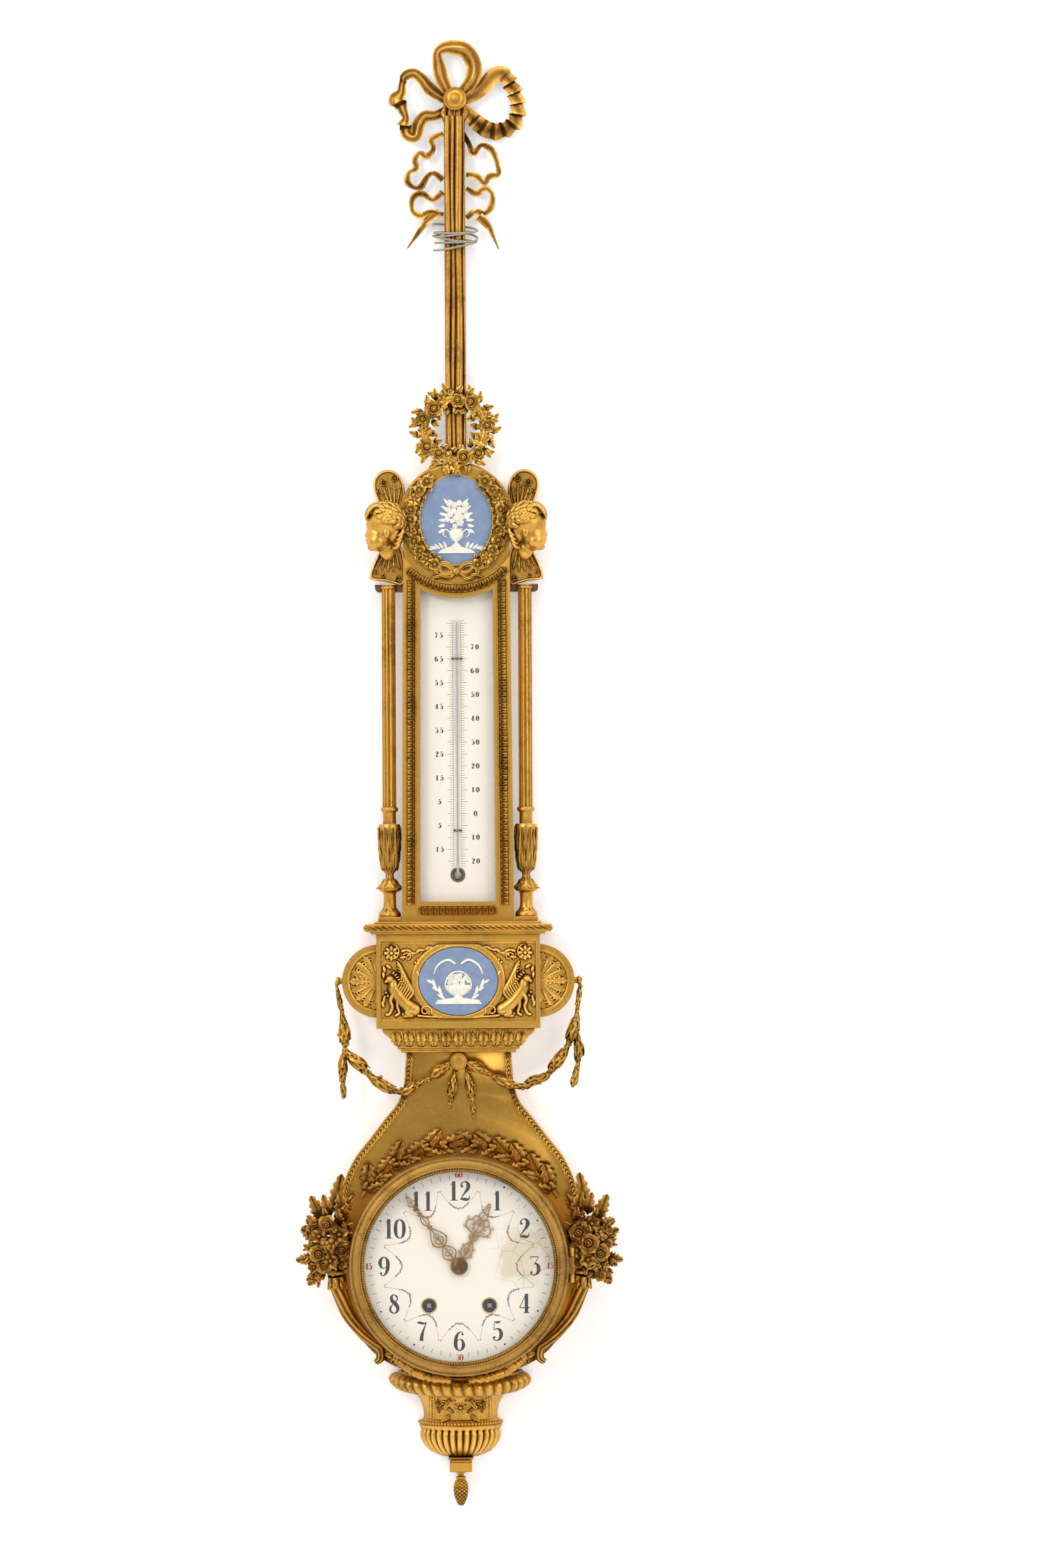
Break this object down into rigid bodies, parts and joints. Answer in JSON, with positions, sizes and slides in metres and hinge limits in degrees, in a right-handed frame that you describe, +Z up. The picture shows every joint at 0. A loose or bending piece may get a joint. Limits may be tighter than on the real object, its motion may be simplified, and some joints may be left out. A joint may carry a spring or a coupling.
{
  "type": "wall cartel clock with thermometer",
  "caption": "Tall gilt bronze wall cartel with a ribbon bow, a glazed thermometer between fluted columns, a plaque box and a round clock over an urn.",
  "frame": {"origin": "centre of the eye in the steel hanging strap, on the wall's plane", "axes": "+X to the right seen from the front, +Y into the wall, +Z up"},
  "size_m": [0.2396, 0.0749, 1.0622],
  "materials": {
    "gilt_bronze": "fire gilt bronze, burnished highlights over matt ground",
    "toned_bronze": "old gilding, rubbed and toned brown in the hollows",
    "pierced_gilt": "gilt and chased",
    "movement_brass": "turned and cut brass",
    "bell_metal": "cast and turned bell metal",
    "steel": "blackened and polished steel",
    "white_enamel": "fired white enamel, aged to cream",
    "clear_glass": "clear plate glass",
    "tube_glass": "drawn thermometer glass",
    "blue_biscuit": "unglazed blue porcelain with white reliefs",
    "board_wood": "oiled oak",
    "bracket_metal": "dark patinated casting",
    "twine": "aged two ply twine",
    "tie_wire": "blackened soft wire"
  },
  "bodies": {
    "root": {"ribbon_bow": "toned_bronze", "boss_knobs": "gilt_bronze", "stem": "toned_bronze", "ribbon_tails": "toned_bronze", "hanger_strap": "steel", "case_screws": "steel", "twine_binding": "twine", "flower_wreath": "gilt_bronze", "thermometer_frame": "gilt_bronze", "leaf_moulding": "toned_bronze", "thermometer_glass": "clear_glass", "scale_plate": "white_enamel", "thermometer_tube": "tube_glass", "tube_ties": "tie_wire", "backing_board": "board_wood", "upper_plaque": "blue_biscuit", "head_garlands": "gilt_bronze", "cherub_left": "gilt_bronze", "cherub_right": "gilt_bronze", "cherub_wings": "gilt_bronze", "capital_brackets": "bracket_metal", "column_shafts": "toned_bronze", "column_feet": "toned_bronze", "box_case": "gilt_bronze", "box_cornices": "toned_bronze", "side_lobes": "gilt_bronze", "lower_plaque": "blue_biscuit", "box_relief": "gilt_bronze", "laurel_garlands": "toned_bronze", "clock_case": "gilt_bronze", "oak_leaves": "toned_bronze", "cornucopias": "toned_bronze", "bouquets": "toned_bronze", "urn_rim": "toned_bronze", "urn_bowl": "toned_bronze", "finial": "toned_bronze", "urn_branches": "toned_bronze", "drum": "gilt_bronze", "hinge_pin": "steel", "dial": "white_enamel", "movement_frame": "movement_brass", "bell": "bell_metal"},
    "bezel": {"bezel_ring": "gilt_bronze", "bezel_glass": "clear_glass"},
    "minute": {"minute_hand": "pierced_gilt", "hand_nut": "pierced_gilt", "centre_wheel": "movement_brass"},
    "hour": {"hour_hand": "pierced_gilt", "hour_wheel": "movement_brass"},
    "motion_wheel": {"minute_wheel": "movement_brass"},
    "intermediate": {"intermediate_wheel": "movement_brass"},
    "going_drum": {"going_barrel": "movement_brass"},
    "strike_drum": {"strike_barrel": "movement_brass"},
    "going_key": {"going_arbor": "steel"},
    "strike_key": {"strike_arbor": "steel"},
    "third": {"third_wheel": "movement_brass"},
    "escape": {"escape_wheel": "movement_brass"},
    "swing": {"anchor": "steel", "pendulum": "movement_brass"},
    "striker": {"hammer": "steel"}
  },
  "joints": [
    {"name": "bezel_hinge", "type": "hinge", "parent": "root", "child": "bezel", "pos_m": [0.0802, -0.0605, -0.5542], "axis": [0, 0, 1], "range_deg": [0, 100]},
    {"name": "minute_turn", "type": "hinge", "parent": "root", "child": "minute", "pos_m": [0, -0.04, -0.5542], "axis": [0, 1, 0], "continuous": true},
    {"name": "hour_turn", "type": "hinge", "parent": "root", "child": "hour", "pos_m": [0, -0.04, -0.5542], "axis": [0, 1, 0], "continuous": true},
    {"name": "motion_turn", "type": "hinge", "parent": "root", "child": "motion_wheel", "pos_m": [0, -0.04, -0.5422], "axis": [0, 1, 0], "continuous": true},
    {"name": "intermediate_turn", "type": "hinge", "parent": "root", "child": "intermediate", "pos_m": [0.01809, -0.04, -0.56078], "axis": [0, 1, 0], "continuous": true},
    {"name": "going_drum_turn", "type": "hinge", "parent": "root", "child": "going_drum", "pos_m": [0.0216, -0.04, -0.5825], "axis": [0, 1, 0], "continuous": true},
    {"name": "third_turn", "type": "hinge", "parent": "root", "child": "third", "pos_m": [-0.0091, -0.04, -0.53844], "axis": [0, 1, 0], "continuous": true},
    {"name": "escape_turn", "type": "hinge", "parent": "root", "child": "escape", "pos_m": [0, -0.04, -0.52606], "axis": [0, 1, 0], "continuous": true},
    {"name": "strike_drum_turn", "type": "hinge", "parent": "root", "child": "strike_drum", "pos_m": [-0.0216, -0.04, -0.5825], "axis": [0, 1, 0], "continuous": true},
    {"name": "going_key_turn", "type": "hinge", "parent": "root", "child": "going_key", "pos_m": [0.0216, -0.04, -0.5825], "axis": [0, 1, 0], "continuous": true},
    {"name": "strike_key_turn", "type": "hinge", "parent": "root", "child": "strike_key", "pos_m": [-0.0216, -0.04, -0.5825], "axis": [0, 1, 0], "continuous": true},
    {"name": "swing", "type": "hinge", "parent": "root", "child": "swing", "pos_m": [0, -0.04, -0.51456], "axis": [0, 1, 0], "range_deg": [-4, 4]},
    {"name": "strike", "type": "hinge", "parent": "root", "child": "striker", "pos_m": [-0.04, -0.04, -0.5622], "axis": [0, 1, 0], "range_deg": [0, 34], "stiffness_Nm_per_rad": 0.001, "springref_deg": -40.11}
  ],
  "couplings": [
    {"joint": "hour_turn", "follows": "minute_turn", "ratio": 0.083333},
    {"joint": "motion_turn", "follows": "minute_turn", "ratio": -0.33333},
    {"joint": "intermediate_turn", "follows": "minute_turn", "ratio": -0.16667},
    {"joint": "going_drum_turn", "follows": "minute_turn", "ratio": 0.016667},
    {"joint": "third_turn", "follows": "minute_turn", "ratio": -12},
    {"joint": "escape_turn", "follows": "minute_turn", "ratio": 180}
  ]
}
